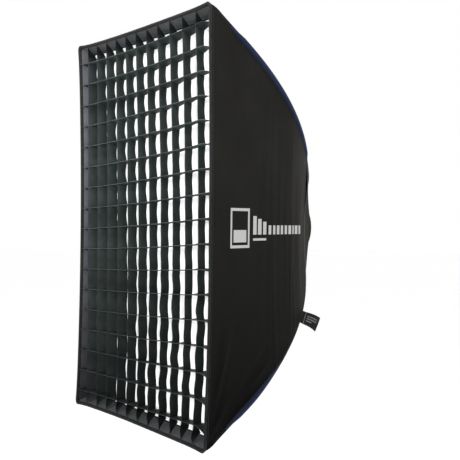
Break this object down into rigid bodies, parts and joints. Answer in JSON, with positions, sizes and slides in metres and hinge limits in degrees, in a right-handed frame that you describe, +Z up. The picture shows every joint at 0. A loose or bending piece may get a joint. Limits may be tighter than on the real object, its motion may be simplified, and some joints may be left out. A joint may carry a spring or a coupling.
{
  "type": "softbox",
  "caption": "Quick-folding rectangular softbox with curved ribs, a turning three-lug bayonet hub, white diffuser and fabric honeycomb grid.",
  "frame": {"origin": "centre of the bayonet's seating face, on the hub's axis", "axes": "+Y points at the flash head, +Z is up along the long side, the grid faces -Y"},
  "size_m": [0.598, 0.468, 0.897],
  "materials": {
    "shell_fabric": "matt black coated polyester, fine weave",
    "piping_blue": "dark blue woven piping",
    "lining_silver": "silver reflective lining",
    "diffuser_white": "white translucent nylon",
    "grid_fabric": "dark grey-green coated strip",
    "hem_fabric": "black binding tape",
    "loop_tape": "grey hook and loop tape",
    "collar_fabric": "black reinforced cloth",
    "tag_fabric": "black woven tag",
    "elastic": "black elastic webbing",
    "ring_metal": "black powder coat",
    "insert_metal": "satin cast aluminium",
    "bracket_steel": "black painted steel",
    "rod_steel": "drawn spring steel",
    "steel": "zinc plated",
    "knuckle_plastic": "moulded glass-filled nylon",
    "button_plastic": "moulded red nylon",
    "knob_plastic": "moulded black nylon"
  },
  "bodies": {
    "mount": {"mount_insert": "insert_metal"},
    "hub": {"baffle_clips": "knuckle_plastic", "baffle_straps": "elastic", "bracket_screws": "steel", "button_spring_bottom_left": "steel", "button_spring_bottom_right": "steel", "button_spring_top_left": "steel", "button_spring_top_right": "steel", "collar_hem_band": "elastic", "corner_pockets": "collar_fabric", "front_diffuser": "diffuser_white", "front_hem": "hem_fabric", "grid_border": "grid_fabric", "grid_strips_horizontal": "grid_fabric", "grid_strips_vertical": "grid_fabric", "hub_ring": "ring_metal", "inner_baffle": "diffuser_white", "lining_panel_bottom": "lining_silver", "lining_panel_left": "lining_silver", "lining_panel_right": "lining_silver", "lining_panel_top": "lining_silver", "lip_loop_tape": "loop_tape", "rear_collar_bottom": "collar_fabric", "rear_collar_left": "collar_fabric", "rear_collar_right": "collar_fabric", "rear_collar_top": "collar_fabric", "retaining_ring": "ring_metal", "retaining_screws": "steel", "rib_brackets": "bracket_steel", "rib_hinge_pins": "steel", "seam_piping_bottom_left": "piping_blue", "seam_piping_bottom_right": "piping_blue", "seam_piping_top_left": "piping_blue", "seam_piping_top_right": "piping_blue", "sewn_tag": "tag_fabric", "shell_panel_bottom": "shell_fabric", "shell_panel_left": "shell_fabric", "shell_panel_right": "shell_fabric", "shell_panel_top": "shell_fabric"},
    "lock": {"lock_knob": "knob_plastic", "lock_screw": "steel"},
    "rib_top_right": {"rib_knuckle_top_right": "knuckle_plastic", "rib_rod_top_right": "rod_steel", "rib_tip_top_right": "knuckle_plastic"},
    "button_top_right": {"release_button_top_right": "button_plastic"},
    "rib_top_left": {"rib_knuckle_top_left": "knuckle_plastic", "rib_rod_top_left": "rod_steel", "rib_tip_top_left": "knuckle_plastic"},
    "button_top_left": {"release_button_top_left": "button_plastic"},
    "rib_bottom_left": {"rib_knuckle_bottom_left": "knuckle_plastic", "rib_rod_bottom_left": "rod_steel", "rib_tip_bottom_left": "knuckle_plastic"},
    "button_bottom_left": {"release_button_bottom_left": "button_plastic"},
    "rib_bottom_right": {"rib_knuckle_bottom_right": "knuckle_plastic", "rib_rod_bottom_right": "rod_steel", "rib_tip_bottom_right": "knuckle_plastic"},
    "button_bottom_right": {"release_button_bottom_right": "button_plastic"}
  },
  "joints": [
    {"name": "hub_turn", "type": "hinge", "parent": "mount", "child": "hub", "pos_m": [0, 0, 0], "axis": [0, 1, 0], "continuous": true},
    {"name": "rib_fold_top_right", "type": "hinge", "parent": "hub", "child": "rib_top_right", "pos_m": [0.04559, -0.01858, 0.06838], "axis": [0.8321, 0, -0.5547], "range_deg": [0, 46], "deforming": ["shell_panel_right", "lining_panel_right", "seam_piping_top_right", "corner_pockets", "inner_baffle", "baffle_straps", "baffle_clips", "front_diffuser", "front_hem", "lip_loop_tape", "grid_border", "grid_strips_horizontal", "grid_strips_vertical", "rear_collar_right", "rear_collar_top", "rear_collar_left", "rear_collar_bottom", "sewn_tag"]},
    {"name": "button_press_top_right", "type": "slide", "parent": "hub", "child": "button_top_right", "axis": [0, 1, 0], "range_m": [0, 0.003], "stiffness_N_per_m": 250, "springref_m": -0.002, "deforming": ["button_spring_top_right"]},
    {"name": "rib_fold_top_left", "type": "hinge", "parent": "hub", "child": "rib_top_left", "pos_m": [-0.04559, -0.01858, 0.06838], "axis": [0.8321, 0, 0.5547], "range_deg": [0, 46], "deforming": ["shell_panel_top", "lining_panel_top", "seam_piping_top_left"]},
    {"name": "button_press_top_left", "type": "slide", "parent": "hub", "child": "button_top_left", "axis": [0, 1, 0], "range_m": [0, 0.003], "stiffness_N_per_m": 250, "springref_m": -0.002, "deforming": ["button_spring_top_left"]},
    {"name": "rib_fold_bottom_left", "type": "hinge", "parent": "hub", "child": "rib_bottom_left", "pos_m": [-0.04559, -0.01858, -0.06838], "axis": [-0.8321, 0, 0.5547], "range_deg": [0, 46], "deforming": ["shell_panel_left", "lining_panel_left", "seam_piping_bottom_left"]},
    {"name": "button_press_bottom_left", "type": "slide", "parent": "hub", "child": "button_bottom_left", "axis": [0, 1, 0], "range_m": [0, 0.003], "stiffness_N_per_m": 250, "springref_m": -0.002, "deforming": ["button_spring_bottom_left"]},
    {"name": "rib_fold_bottom_right", "type": "hinge", "parent": "hub", "child": "rib_bottom_right", "pos_m": [0.04559, -0.01858, -0.06838], "axis": [-0.8321, 0, -0.5547], "range_deg": [0, 46], "deforming": ["shell_panel_bottom", "lining_panel_bottom", "seam_piping_bottom_right"]},
    {"name": "button_press_bottom_right", "type": "slide", "parent": "hub", "child": "button_bottom_right", "axis": [0, 1, 0], "range_m": [0, 0.003], "stiffness_N_per_m": 250, "springref_m": -0.002, "deforming": ["button_spring_bottom_right"]},
    {"name": "lock_turn", "type": "hinge", "parent": "hub", "child": "lock", "pos_m": [0, -0.0095, -0.08], "axis": [0, 0, -1], "continuous": true}
  ]
}
